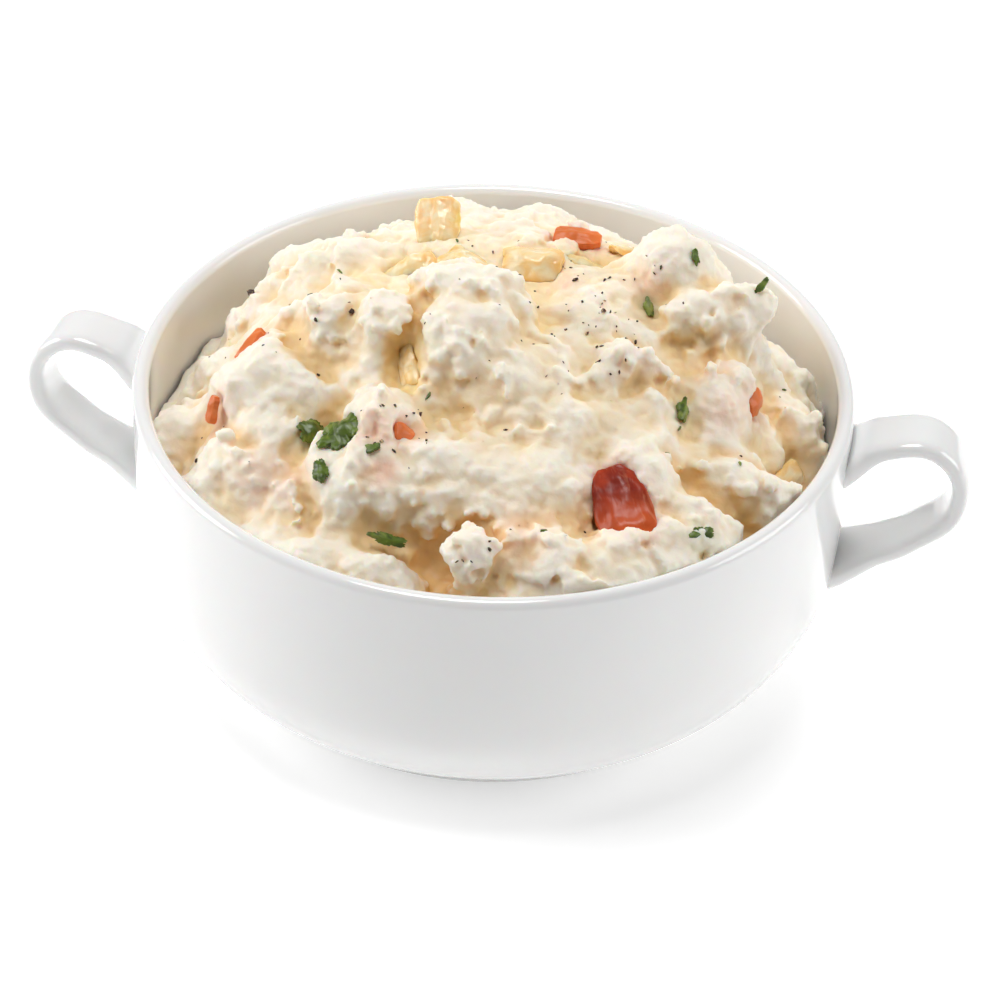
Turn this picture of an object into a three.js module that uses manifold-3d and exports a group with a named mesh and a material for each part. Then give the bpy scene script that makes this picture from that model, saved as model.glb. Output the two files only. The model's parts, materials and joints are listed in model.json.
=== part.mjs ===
// Mashed potato side, heaped in a two-handled white porcelain soup cup.
// Millimetres, +Z up. The origin is on the surface that the cup stands on, under its middle,
// and the two handles lie along X. The side that is served towards the guest faces -Y.

import * as THREE from 'three';
import { mergeVertices } from 'three/addons/utils/BufferGeometryUtils.js';
import { ImprovedNoise } from 'three/addons/math/ImprovedNoise.js';
import Module from 'manifold-3d';

const wasm = await Module();
wasm.setup();
const noise = new ImprovedNoise();
const rad = THREE.MathUtils.degToRad;

// ---------------------------------------------------------------- driving dimensions

const GAP = 0.3; // left between any two pieces that touch

const CUP = {
	height: 50,
	radius: 60.3, // outer wall below the lip
	lip: 1.4, // radius of the rounded lip, half the wall's thickness
	footRadius: 47,
	footHeight: 3.3,
	footWidth: 3.4,
	recess: 1.3, // how far the base is raised inside the foot ring
	floorTop: 5.2, // inner bottom above the table
	sides: 40,
};

const STRAP = {
	width: 10,
	thickness: 3.1,
	flare: 0.32, // how much the strap's ends grow where they meet the wall
	flareLength: 3.2,
	steps: 20,
	sides: 8,
	root: CUP.radius - 1.6, // both ends stop inside the wall
	topRoot: 41.5, // heights at which the ends meet the wall
	lowRoot: 20.3,
	reach: 78.9, // middle of the strap at its furthest
	shoulder: 47, // middle of the strap at its highest
};

const MASH = {
	fill: 36, // lowest level of the potato at the wall
	top: 73, // about the highest point
	clearance: 0.35, // to the cup's inside
	cells: 44, // of the grid across the heap
	reach: CUP.radius - 1, // the grid ends inside the cup's wall, where it is trimmed
	blend: 0.9, // how softly the spoonfuls run into each other
	waves: [ { pitch: 13, size: 3.2 }, { pitch: 6, size: 1.4 } ],
	lumps: [ { pitch: 9, size: 1.8 }, { pitch: 4.4, size: 0.9 } ],
};


// ---------------------------------------------------------------- booleans

// The closed surface of a geometry as a solid for joining and cutting.
function toSolid(geometry, matrix) {

	const bare = geometry.clone();
	bare.deleteAttribute('normal');
	bare.deleteAttribute('uv');
	if (matrix) bare.applyMatrix4(matrix);
	const merged = mergeVertices(bare, 1e-4);
	return new wasm.Manifold(new wasm.Mesh({
		numProp: 3,
		vertProperties: merged.attributes.position.array,
		triVerts: new Uint32Array(merged.index.array),
	}));

}

function toGeometry(solid) {

	const mesh = solid.getMesh();
	const geometry = new THREE.BufferGeometry();
	geometry.setAttribute('position', new THREE.BufferAttribute(mesh.vertProperties, mesh.numProp));
	geometry.setIndex(new THREE.BufferAttribute(mesh.triVerts, 1));
	geometry.computeVertexNormals();
	return geometry;

}

// A cut can leave scraps behind, and the largest piece is the one that stays.
function largest(solid) {

	return solid.decompose().reduce((a, b) => (a.volume() > b.volume() ? a : b));

}

// ---------------------------------------------------------------- cup

// Outline of the cup's inside, from the lip down to the middle of the floor, moved in by a gap.
function innerOutline(gap) {

	const wall = CUP.radius - 2 * CUP.lip - gap;
	const floor = CUP.floorTop + gap;
	const path = new THREE.Path();
	path.moveTo(wall, CUP.height - CUP.lip);
	path.lineTo(wall + 0.2, 22);
	path.bezierCurveTo(wall - 0.6, 13, 50 - gap, floor + 1.6, 40 - gap, floor + 0.5);
	path.bezierCurveTo(30, floor + 0.1, 20, floor, 0, floor);
	return path.getPoints(3);

}

function cupBody() {

	const { height, radius, lip, footRadius, footHeight, footWidth, recess } = CUP;
	const outside = new THREE.Path();
	outside.moveTo(0, recess);
	outside.lineTo(footRadius - footWidth - 1, recess);
	outside.lineTo(footRadius - footWidth, 0);
	outside.lineTo(footRadius - 0.7, 0);
	outside.lineTo(footRadius, 0.8);
	outside.lineTo(footRadius, footHeight);
	outside.bezierCurveTo(52.5, 4.6, 59, 12.5, radius - 0.4, 20);
	outside.bezierCurveTo(radius + 0.3, 27, radius + 0.2, 38, radius, height - lip);
	outside.absarc(radius - lip, height - lip, lip, 0, Math.PI);
	const outline = [...outside.getPoints(3), ...innerOutline(0).slice(1)];
	return turned(outline, CUP.sides);

}

// A solid of revolution about Z, from an outline of radius and height.
function turned(outline, sides) {

	return facingOut(new THREE.LatheGeometry(outline, sides).rotateX(Math.PI / 2));

}

// A flat strap that leaves the wall under the lip, turns over and sweeps back in lower down.
function strapGeometry() {

	const { root, reach, shoulder, topRoot, lowRoot, steps, sides } = STRAP;
	const middle = new THREE.CatmullRomCurve3([
		new THREE.Vector3(root, 0, topRoot),
		new THREE.Vector3(66, 0, shoulder - 0.2),
		new THREE.Vector3(reach - 3.8, 0, shoulder),
		new THREE.Vector3(reach, 0, 37),
		new THREE.Vector3(72, 0, 28.2),
		new THREE.Vector3(66.5, 0, 24.6),
		new THREE.Vector3(root, 0, lowRoot),
	]);
	const across = new THREE.Vector3(0, 1, 0);
	const points = [];
	for (let i = 0; i <= steps; i ++) {

		const at = middle.getPointAt(i / steps);
		const outward = new THREE.Vector3().crossVectors(middle.getTangentAt(i / steps), across);
		const grow = 1 + STRAP.flare * Math.exp(- Math.abs(at.x - CUP.radius) / STRAP.flareLength);
		for (let k = 0; k < sides; k ++) {

			const turn = 2 * Math.PI * (k + 0.5) / sides;
			const u = Math.sign(Math.cos(turn)) * Math.sqrt(Math.abs(Math.cos(turn)));
			const v = Math.sign(Math.sin(turn)) * Math.sqrt(Math.abs(Math.sin(turn)));
			points.push(at.clone()
				.addScaledVector(across, u * grow * STRAP.width / 2)
				.addScaledVector(outward, v * grow * STRAP.thickness / 2));

		}

	}
	return sweep(points, steps + 1, sides);

}

// Joins rings of points into a closed skin, with a fan over each end.
function sweep(points, rings, sides) {

	const index = [];
	for (let i = 0; i < rings - 1; i ++) {

		for (let k = 0; k < sides; k ++) {

			const a = i * sides + k;
			const b = i * sides + (k + 1) % sides;
			index.push(a, b, a + sides, b, b + sides, a + sides);

		}

	}
	const last = (rings - 1) * sides;
	for (let k = 1; k < sides - 1; k ++) {

		index.push(0, k + 1, k);
		index.push(last, last + k, last + k + 1);

	}
	const geometry = new THREE.BufferGeometry().setFromPoints(points);
	geometry.setIndex(index);
	return facingOut(geometry);

}

// Turns every triangle round where a closed skin encloses a negative volume.
function facingOut(geometry) {

	const p = geometry.attributes.position;
	const index = geometry.index.array;
	const [a, b, c] = [new THREE.Vector3(), new THREE.Vector3(), new THREE.Vector3()];
	let volume = 0;
	for (let i = 0; i < index.length; i += 3) {

		a.fromBufferAttribute(p, index[i]);
		b.fromBufferAttribute(p, index[i + 1]);
		c.fromBufferAttribute(p, index[i + 2]);
		volume += a.dot(b.cross(c));

	}
	if (volume < 0) geometry.setIndex([...index].reverse());
	return geometry;

}

function cup() {

	const strap = strapGeometry();
	const halfTurn = new THREE.Matrix4().makeRotationZ(Math.PI);
	return toSolid(cupBody()).add(toSolid(strap)).add(toSolid(strap, halfTurn));

}

// ---------------------------------------------------------------- mash

// Spoonfuls that run into each other and make the heap's main forms. Each is a crown of half
// widths rx and ry that falls by rz from its top; turn is about Z in degrees, and bend curls the
// two ends of a long one round, in mm.
const SPOONFULS = [
	// the dome that carries the rest
	{ x: 1, y: 5, top: 65, rx: 46, ry: 43, rz: 22 },
	// crest, the block that stands before it and the foot of the block
	{ x: - 3, y: - 8, top: 72.5, rx: 9.5, ry: 13, rz: 11, turn: 12 },
	{ x: 6, y: - 17, top: 66, rx: 9, ry: 9, rz: 8, turn: - 30 },
	{ x: - 3, y: 14, top: 66.5, rx: 20, ry: 11, rz: 11 },
	{ x: 10, y: 25, top: 65, rx: 7, ry: 6, rz: 9 },
	// left of the crest
	{ x: - 16, y: - 10, top: 68.5, rx: 6, ry: 7, rz: 6, turn: 20 },
	{ x: - 25, y: - 5, top: 66, rx: 9, ry: 7, rz: 6, turn: 35 },
	{ x: - 27, y: 12, top: 63, rx: 11, ry: 9, rz: 9, turn: 20 },
	{ x: - 36, y: 21, top: 56, rx: 9, ry: 9, rz: 10, turn: 50 },
	// left shoulder and the lower lumps by the wall
	{ x: - 30, y: - 15, top: 62, rx: 15, ry: 14, rz: 12, turn: 20 },
	{ x: - 44, y: - 2, top: 49, rx: 6.5, ry: 9, rz: 9 },
	{ x: - 40, y: 11, top: 54.5, rx: 9, ry: 9, rz: 11, turn: 30 },
	{ x: - 49, y: - 17, top: 46.5, rx: 6, ry: 8, rz: 6 },
	// lower left
	{ x: - 33, y: - 30, top: 56, rx: 12, ry: 10, rz: 10, turn: - 40 },
	{ x: - 40, y: - 36, top: 48, rx: 8, ry: 6, rz: 5, turn: - 40 },
	{ x: - 28, y: - 45, top: 48.5, rx: 8, ry: 6, rz: 5, turn: - 30 },
	// ridge, and the front fold that runs on from it
	{ x: - 12, y: - 27, top: 63.5, rx: 7.5, ry: 9, rz: 9, turn: 10 },
	{ x: - 3, y: - 34.5, top: 59.5, rx: 25, ry: 9.5, rz: 11, turn: 3, bend: - 4 },
	{ x: 14, y: - 31, top: 58.5, rx: 9, ry: 8, rz: 9, turn: 20 },
	// low roll along the lip
	{ x: - 15, y: - 49, top: 49.5, rx: 17, ry: 7, rz: 6, turn: - 16, bend: - 3 },
	{ x: 12, y: - 44.5, top: 54, rx: 9, ry: 6, rz: 7, turn: 10 },
	{ x: 24, y: - 44, top: 53, rx: 15, ry: 8, rz: 7, turn: 26, bend: - 3 },
	// right of the crest: a valley between the block and the rounded lump
	{ x: 16, y: 4, top: 66.5, rx: 13, ry: 15, rz: 8 },
	{ x: 27, y: 14, top: 72.5, rx: 9.5, ry: 9.5, rz: 13, turn: 20 },
	{ x: 36, y: 7, top: 63.5, rx: 9, ry: 7, rz: 9, turn: 28 },
	{ x: 22, y: - 12, top: 63.5, rx: 11, ry: 6, rz: 8, turn: - 8 },
	{ x: 16, y: - 21, top: 61.5, rx: 10, ry: 8, rz: 8, turn: 10 },
	{ x: 27, y: - 25, top: 58.5, rx: 9, ry: 11, rz: 8, turn: 10 },
	{ x: 38, y: - 6, top: 60, rx: 8, ry: 12, rz: 11, turn: - 10 },
	// lower right, down to the wall
	{ x: 42, y: - 19, top: 54.5, rx: 10, ry: 8, rz: 8, turn: - 20 },
	{ x: 35, y: - 34, top: 53, rx: 10, ry: 9, rz: 7, turn: 40 },
	{ x: 49, y: 1, top: 50, rx: 7, ry: 11, rz: 8 },
	{ x: 43, y: 15, top: 52, rx: 9, ry: 9, rz: 9, turn: - 30 },
];

// Flakes and crags that stand clear of the heap: the middle of each, its half sizes, and how
// it is turned about Z and then leans, in degrees.
const FLAKES = [
	{ at: [ - 4, - 4, 69.5 ], size: [ 9.5, 5.5, 4.5 ], turn: 6, lean: - 30, detail: 2 },
	{ at: [ - 3, - 14, 66.5 ], size: [ 7.5, 7.5, 4.5 ], turn: 10, lean: 40, detail: 2 },
	{ at: [ 7, - 20, 61 ], size: [ 6, 5, 3.6 ], turn: - 15, lean: 30 },
	{ at: [ - 16, - 12, 66 ], size: [ 4, 5.2, 4.6 ], turn: 20, lean: 35 },
	{ at: [ - 26.5, - 9, 63.5 ], size: [ 6.8, 5, 3.2 ], turn: 30, lean: 10 },
	{ at: [ - 23, - 37.5, 51.5 ], size: [ 3, 10, 3.2 ], turn: - 12, lean: 42 },
	{ at: [ - 15.5, - 31, 57 ], size: [ 3.6, 8, 5 ], turn: 12, lean: 20, detail: 2 },
	{ at: [ 5.2, - 49.5, 50 ], size: [ 4, 3.6, 5.6 ], turn: 20, lean: 0 },
	{ at: [ 36, 6, 63.5 ], size: [ 10.5, 3.8, 4.8 ], turn: 24, lean: - 25, detail: 2 },
	{ at: [ 24, - 10, 61.5 ], size: [ 8, 3, 3.8 ], turn: - 6, lean: - 20 },
	{ at: [ 51, - 19.5, 47.5 ], size: [ 5, 4, 3.4 ], turn: - 25, lean: 0 },
];

// Smaller spoonfuls round the back, laid on the dome by a rule.
const BACK = { count: 13, from: 28, to: 152, seed: 11 };

function backSpoonfuls() {

	const list = [];
	for (let i = 0; i < BACK.count; i ++) {

		const low = i % 2;
		const turn = BACK.from + (BACK.to - BACK.from) * i / (BACK.count - 1);
		const wobble = noise.noise(i * 1.7, BACK.seed, 0.5);
		const reach = low ? 45 + 3 * wobble : 33 + 5 * wobble;
		const size = 9 + 3 * noise.noise(0.3, i * 2.3, BACK.seed);
		list.push({
			x: reach * Math.cos(rad(turn)),
			y: reach * Math.sin(rad(turn)),
			top: low ? 49 + 4 * wobble : 57.5 + 5 * wobble,
			rx: size + 2, ry: size, rz: size,
			turn: turn + 90,
		});

	}
	return list;

}

// Rolling noise, from 0 in the creases to about 1 on the crowns.
function billow(x, y, z, pitch) {

	return 1.6 * Math.abs(noise.noise(x / pitch + 3.7, y / pitch - 8.1, z / pitch + 5.3));

}

// Height of one spoonful over a point. Outside its rim it goes on falling steeply.
function crownHeight({ x, y, top, rx, ry, rz, turn = 0, bend = 0 }, px, py) {

	const c = Math.cos(rad(turn));
	const s = Math.sin(rad(turn));
	const u = ((px - x) * c + (py - y) * s) / rx;
	const v = ((py - y) * c - (px - x) * s - bend * u * u) / ry;
	const d = u * u + v * v;
	return d < 0.9 ? top - rz + rz * Math.sqrt(1 - d) : top - rz * (0.684 + 1.58 * (d - 0.9));

}

// The heap's height: all spoonfuls blended, their outlines made wavy, with rolling lumps on top.
function heapHeight(spoonfuls, x, y) {

	const { blend, waves, lumps } = MASH;
	let [px, py] = [x, y];
	for (const { pitch, size } of waves) {

		px += size * noise.noise(x / pitch, y / pitch, 2.5);
		py += size * noise.noise(x / pitch, y / pitch, 9.5);

	}
	let sum = Math.exp((MASH.fill - MASH.top) / blend);
	for (const spoonful of spoonfuls) sum += Math.exp((crownHeight(spoonful, px, py) - MASH.top) / blend);
	let z = MASH.top + blend * Math.log(sum);
	for (const { pitch, size } of lumps) z += size * (billow(x, y, z, pitch) - 0.4);
	return z;

}

// A round block with the heap as its top, on a square grid drawn out to a disc.
function heapBlock() {

	const { cells, reach } = MASH;
	const spoonfuls = [...SPOONFULS, ...backSpoonfuls()];
	const points = [];
	const index = [];
	for (let j = 0; j <= cells; j ++) {

		for (let i = 0; i <= cells; i ++) {

			const a = 2 * i / cells - 1;
			const b = 2 * j / cells - 1;
			const wide = Math.abs(a) > Math.abs(b);
			const r = reach * (wide ? a : b);
			const turn = wide ? rad(45) * b / a : rad(90) - rad(45) * (b === 0 ? 0 : a / b);
			const x = r * Math.cos(turn);
			const y = r * Math.sin(turn);
			points.push(new THREE.Vector3(x, y, heapHeight(spoonfuls, x, y)));

		}

	}
	const row = cells + 1;
	for (let j = 0; j < cells; j ++) {

		for (let i = 0; i < cells; i ++) {

			const p = j * row + i;
			const slash = (i < cells / 2) === (j < cells / 2);
			if (slash) index.push(p, p + 1, p + row + 1, p, p + row + 1, p + row);
			else index.push(p, p + 1, p + row, p + 1, p + row + 1, p + row);

		}

	}
	closeBelow(points, index, row);
	return facingOut(new THREE.BufferGeometry().setFromPoints(points).setIndex(index));

}

// Drops a wall from the grid's edge and closes it with a fan, all of it below the cup's inside.
function closeBelow(points, index, row) {

	const edge = [];
	for (let i = 0; i < row - 1; i ++) edge.push(i);
	for (let j = 0; j < row - 1; j ++) edge.push(j * row + row - 1);
	for (let i = row - 1; i > 0; i --) edge.push((row - 1) * row + i);
	for (let j = row - 1; j > 0; j --) edge.push(j * row);
	const first = points.length;
	for (const e of edge) points.push(points[e].clone().setZ(0));
	const middle = points.length;
	points.push(new THREE.Vector3());
	edge.forEach((e, i) => {

		const next = (i + 1) % edge.length;
		index.push(e, first + i, edge[next], edge[next], first + i, first + next);
		index.push(first + i, middle, first + next);

	});

}

// A flake: a plate with a ragged edge.
function flake({ at, size, turn, lean, detail = 1 }, i) {

	const plate = new THREE.IcosahedronGeometry(1, detail);
	const pose = new THREE.Matrix4()
		.makeRotationFromEuler(new THREE.Euler(rad(lean), 0, rad(turn), 'ZYX'))
		.setPosition(...at);
	const p = new THREE.Vector3();
	const positions = plate.attributes.position;
	for (let k = 0; k < positions.count; k ++) {

		p.fromBufferAttribute(positions, k);
		const ragged = 0.82 + 0.42 * billow(p.x + 5 * i, p.y, p.z, 0.55);
		p.multiplyScalar(ragged).multiply(new THREE.Vector3(...size));
		p.applyMatrix4(pose);
		positions.setXYZ(k, p.x, p.y, p.z);

	}
	return toSolid(plate);

}

// Everything inside the cup and above it, less the gap: no potato leaves this space.
function insideOfCup(top) {

	const inner = innerOutline(MASH.clearance);
	const outline = [new THREE.Vector2(0, top), new THREE.Vector2(inner[0].x, top), ...inner];
	return toSolid(turned(outline, CUP.sides));

}

function heapSolid() {

	let heap = toSolid(heapBlock());
	FLAKES.forEach((form, i) => {

		heap = heap.add(flake(form, i));

	});
	return largest(heap.intersect(insideOfCup(110)));

}

// ---------------------------------------------------------------- toppings

// Where the largest bits of cracked pepper lie, and how wide they are.
const PEPPER = [
	{ x: - 44, y: 10, size: 2.4 },
	{ x: - 43, y: - 31, size: 1.6 },
	{ x: 1, y: 5, size: 1.8 },
	{ x: - 32, y: 3, size: 1.4 },
	{ x: - 22, y: - 10, size: 1.4 },
	{ x: 18, y: - 2, size: 1.4 },
	{ x: 12, y: 6, size: 1.3 },
];

// Each topping: the middle of its place, its length, width and thickness, its turn about the
// potato's own slope, how far one end is tipped up and how deep it is pressed in.
const ONIONS = [
	{ x: - 13, y: 18.5, size: [ 8, 8, 1.3 ], turn: 95, tip: - 50, sink: - 1.8, curl: 1.4 },
	{ x: - 17, y: 9, size: [ 10, 7, 1.6 ], turn: 20, tip: - 14, sink: 0.3, curl: 2 },
	{ x: - 7, y: 8, size: [ 8, 6, 1.7 ], turn: - 35, tip: 12, sink: 0.2, curl: 1.8 },
	{ x: 4, y: 10, size: [ 10, 7, 2.2 ], turn: 8, tip: - 8, sink: 0.4, curl: 1.3, cells: [ 5, 3 ] },
	{ x: 12.5, y: 15.5, size: [ 8, 4.6, 1.2 ], turn: 0, tip: 6, sink: - 0.2, curl: 1 },
	{ x: 18.5, y: 22, size: [ 5.5, 4.5, 1.2 ], turn: 35, tip: 25, sink: - 0.4, curl: 1.2 },
	{ x: - 11.5, y: - 17.5, size: [ 8, 3.6, 2 ], turn: 100, tip: 0, sink: 0.7, curl: 0.6 },
	{ x: 51, y: - 9, size: [ 6.5, 5, 2 ], turn: 70, tip: 0, sink: 0.2, curl: 0.7 },
];

const BACON = [
	{ x: 26.5, y: - 35, size: [ 13.5, 9.5, 2.6 ], turn: 114, tip: 0, sink: - 0.5, curl: 0.8, cells: [ 5, 3 ] },
	{ x: 10, y: 22.5, size: [ 8, 4.5, 2.4 ], turn: 0, tip: 0, sink: 0.2, curl: 0.5 },
	{ x: 44, y: - 4.5, size: [ 5, 4.6, 2.6 ], turn: 70, tip: 0, sink: 0.5, curl: 0.4 },
	{ x: - 39, y: - 12, size: [ 6.5, 3.6, 2 ], turn: 60, tip: 0, sink: 0.5, curl: 0.4 },
	{ x: - 42.5, y: - 24, size: [ 4.4, 2.8, 1.8 ], turn: 50, tip: 0, sink: 0.4, curl: 0.2 },
	{ x: - 8.5, y: - 32.5, size: [ 3.6, 3.2, 2 ], turn: 20, tip: 0, sink: 0.5, curl: 0.2 },
];

const PARSLEY = [
	{ x: - 25, y: - 28, size: [ 7, 6, 0.5 ], turn: 65, tip: 20, sink: - 0.8, curl: 1.2, cells: [ 7, 2 ] },
	{ x: - 18.5, y: - 33, size: [ 9, 7.5, 0.5 ], turn: 35, tip: 8, sink: - 0.9, curl: 1.4, cells: [ 8, 2 ] },
	{ x: - 20.5, y: - 40, size: [ 5, 3.4, 0.5 ], turn: 110, tip: 0, sink: - 0.5, curl: 0.8, cells: [ 5, 2 ] },
	{ x: - 8.5, y: - 46, size: [ 7.4, 2.6, 0.5 ], turn: 4, tip: 0, sink: - 0.3, curl: 0.6, cells: [ 7, 2 ] },
	{ x: - 13, y: - 37.5, size: [ 3.8, 1.8, 0.5 ], turn: 25, tip: 0, sink: - 0.3, curl: 0.4, cells: [ 4, 1 ] },
	{ x: 33, y: - 13, size: [ 5.6, 2.6, 0.5 ], turn: 100, tip: 0, sink: - 0.3, curl: 0.6, cells: [ 5, 2 ] },
	{ x: 42, y: 8.5, size: [ 4.4, 1.4, 0.5 ], turn: 60, tip: - 50, sink: - 1.6, curl: 0.3, cells: [ 4, 1 ] },
	{ x: 31, y: 11.5, size: [ 3.8, 1.8, 0.5 ], turn: 110, tip: 0, sink: - 0.3, curl: 0.4, cells: [ 4, 1 ] },
	{ x: 24.5, y: 5, size: [ 4, 2.4, 0.5 ], turn: 120, tip: 0, sink: - 0.3, curl: 0.4, cells: [ 4, 1 ] },
	{ x: 39.5, y: - 37, size: [ 5, 3.2, 0.5 ], turn: 30, tip: 0, sink: - 0.3, curl: 0.6, cells: [ 5, 2 ] },
];

// Half widths along the length, from one tip at -1 to the other at 1, as shares of the half width.
const OUTLINES = {
	onion: (u) => 0.86 + 0.14 * Math.cos(2.4 * u) - 0.5 * Math.max(0, Math.abs(u) - 0.75),
	bacon: (u) => 0.66 + 0.34 * Math.cos(2.3 * u + 0.3),
	parsley: (u) => 0.1 + 0.9 * Math.sqrt(1 - Math.min(1, u * u)) * (0.66 + 0.34 * Math.abs(Math.cos(3.6 * u - 0.6))),
};

// A thin piece on a grid of cells, domed along its width and wavy along its length. Both faces
// have the same triangles. grow makes it larger all round, for the bed that it lies in.
function slice(kind, { size, curl, cells: [nu, nv] = [ 4, 2 ] }, seed, grow = 0) {

	const [length, width, thickness] = size;
	const points = [];
	for (const face of [ 1, - 1 ]) {

		for (let j = 0; j <= nv; j ++) {

			for (let i = 0; i <= nu; i ++) {

				const u = 2 * i / nu - 1;
				const v = 2 * j / nv - 1;
				const x = u * length / 2;
				const wide = OUTLINES[kind](u);
				const y = v * wide * width / 2;
				const wave = curl * (wide * wide * (0.5 - v * v) + 0.6 * noise.noise(x / 3 + seed, y / 3, seed));
				const rim = Math.abs(u) === 1 || Math.abs(v) === 1;
				const half = thickness / 2 * (rim && kind !== 'parsley' ? 0.6 : 1) + grow;
				const out = Math.trunc(u) * grow;
				const aside = Math.trunc(v) * grow;
				points.push(new THREE.Vector3(x + out, y + aside, wave + face * half));

			}

		}

	}
	return facingOut(new THREE.BufferGeometry().setFromPoints(points).setIndex(sliceIndex(nu, nv)));

}

// Triangles of two like grids, the second facing the other way, and of the strip round them.
function sliceIndex(nu, nv) {

	const row = nu + 1;
	const under = row * (nv + 1);
	const index = [];
	for (let j = 0; j < nv; j ++) {

		for (let i = 0; i < nu; i ++) {

			const p = j * row + i;
			index.push(p, p + 1, p + row + 1, p, p + row + 1, p + row);
			index.push(under + p, under + p + row + 1, under + p + 1);
			index.push(under + p, under + p + row, under + p + row + 1);

		}

	}
	const edge = [];
	for (let i = 0; i < nu; i ++) edge.push(i);
	for (let j = 0; j < nv; j ++) edge.push(j * row + nu);
	for (let i = nu; i > 0; i --) edge.push(nv * row + i);
	for (let j = nv; j > 0; j --) edge.push(j * row);
	edge.forEach((a, i) => {

		const b = edge[(i + 1) % edge.length];
		index.push(a, under + b, b, a, under + a, under + b);

	});
	return index;

}

const ray = new THREE.Raycaster();
const down = new THREE.Vector3(0, 0, - 1);

function surfaceBelow(ground, x, y) {

	ray.set(new THREE.Vector3(x, y, 120), down);
	return ray.intersectObject(ground, false)[0].point;

}

// Lays a piece on the heap at its place, along the slope that lies under its whole length.
function settle(mesh, ground, { x, y, size, turn, tip, sink }) {

	const reach = Math.max(size[0], size[1]) / 3;
	const middle = surfaceBelow(ground, x, y);
	const alongX = surfaceBelow(ground, x + reach, y).sub(surfaceBelow(ground, x - reach, y));
	const alongY = surfaceBelow(ground, x, y + reach).sub(surfaceBelow(ground, x, y - reach));
	const slope = new THREE.Vector3().crossVectors(alongX, alongY).normalize();
	mesh.quaternion.setFromUnitVectors(new THREE.Vector3(0, 0, 1), slope);
	mesh.rotateZ(rad(turn));
	mesh.rotateY(rad(tip));
	mesh.position.copy(middle).addScaledVector(slope, - sink);

}

// ---------------------------------------------------------------- the part

const finish = (color, roughness) => new THREE.MeshStandardMaterial({ color, roughness, metalness: 0 });
const FINISHES = {
	porcelain: finish(0xf6f5f2, 0.12),
	potato: finish(0xf2e8cd, 0.6),
	onion: finish(0xe8c66a, 0.25),
	bacon: finish(0xb5432a, 0.35),
	parsley: finish(0x3f6b24, 0.45),
};

const part = new THREE.Group();

function addMesh(name, geometry, material) {

	const mesh = new THREE.Mesh(geometry, material);
	mesh.name = name;
	part.add(mesh);
	return mesh;

}

addMesh('bowl', toGeometry(cup()), FINISHES.porcelain);

let heap = heapSolid();
const ground = new THREE.Mesh(toGeometry(heap), FINISHES.potato);
ground.updateMatrixWorld(true);

// Each topping is laid down, and its bed is cut into the potato a gap wider than the topping.
const toppings = { onion: ONIONS, bacon: BACON, parsley: PARSLEY };
for (const [kind, list] of Object.entries(toppings)) {

	list.forEach((form, i) => {

		const mesh = addMesh(kind + '_' + (i + 1), slice(kind, form, i), FINISHES[kind]);
		settle(mesh, ground, form);
		mesh.updateMatrixWorld(true);
		heap = heap.subtract(toSolid(slice(kind, form, i, GAP), mesh.matrixWorld));

	});

}

// Cracked pepper is pressed half into the potato and belongs to it.
for (const { x, y, size } of PEPPER) {

	const grain = new THREE.IcosahedronGeometry(size / 2, 0);
	const at = surfaceBelow(ground, x, y);
	heap = heap.add(toSolid(grain, new THREE.Matrix4().setPosition(at.x, at.y, at.z + size / 5)));

}

addMesh('mash', toGeometry(largest(heap)), FINISHES.potato);

export default part;
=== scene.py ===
# %% [markdown]
# # Mashed potato in a two-handled soup cup
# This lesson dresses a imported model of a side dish: potato heaped in a white porcelain cup, with
# fried onion, bacon, parsley and cracked pepper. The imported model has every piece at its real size
# and place, but its faces are large and flat. Each cell below makes one piece or one finish.

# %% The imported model
import json
import math
import random

import bpy
import bmesh
import numpy as np
from mathutils import Matrix, Vector
from mathutils.bvhtree import BVHTree
from mathutils.kdtree import KDTree

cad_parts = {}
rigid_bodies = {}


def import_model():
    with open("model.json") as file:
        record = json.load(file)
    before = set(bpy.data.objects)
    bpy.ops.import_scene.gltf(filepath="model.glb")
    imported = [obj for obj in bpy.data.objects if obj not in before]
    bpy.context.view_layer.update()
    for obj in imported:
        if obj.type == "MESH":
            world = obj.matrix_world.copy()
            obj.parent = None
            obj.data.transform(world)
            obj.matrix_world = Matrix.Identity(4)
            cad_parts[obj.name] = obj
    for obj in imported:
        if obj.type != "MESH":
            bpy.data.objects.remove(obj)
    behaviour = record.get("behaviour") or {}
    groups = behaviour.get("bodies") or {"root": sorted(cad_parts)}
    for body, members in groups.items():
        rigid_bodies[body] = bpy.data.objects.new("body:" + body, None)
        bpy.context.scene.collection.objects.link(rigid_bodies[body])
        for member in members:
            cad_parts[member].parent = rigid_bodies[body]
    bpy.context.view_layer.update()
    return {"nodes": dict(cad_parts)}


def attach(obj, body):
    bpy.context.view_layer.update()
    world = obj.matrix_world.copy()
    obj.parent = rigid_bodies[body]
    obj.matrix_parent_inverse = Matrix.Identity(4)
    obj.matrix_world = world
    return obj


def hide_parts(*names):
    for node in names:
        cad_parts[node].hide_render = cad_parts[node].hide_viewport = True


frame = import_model()
MM = 0.001

# %% [markdown]
# ## Camera
# A dish looks its best through a long lens, from where a seated guest looks down on it. The camera
# could be moved by eye, but here it is described as it would be set up by hand: where it aims, how
# far off and how high it stands, how far it walks round the dish and how much it leans. Its axes
# follow from these.

# %% Camera
AIM = Vector((1.64, 0, 23.1)) * MM
DISTANCE = 518 * MM
ELEVATION = math.radians(38)
AROUND = math.radians(9)
LEAN = math.radians(1.9)
LENS = 108

forward = Vector((0, math.cos(ELEVATION), -math.sin(ELEVATION)))
right = Vector((1, 0, 0))
lean = Matrix.Rotation(-LEAN, 3, forward)
walk = Matrix.Rotation(AROUND, 3, "Z")
right, up, back = walk @ lean @ right, walk @ lean @ right.cross(forward), -(walk @ forward)

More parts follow.
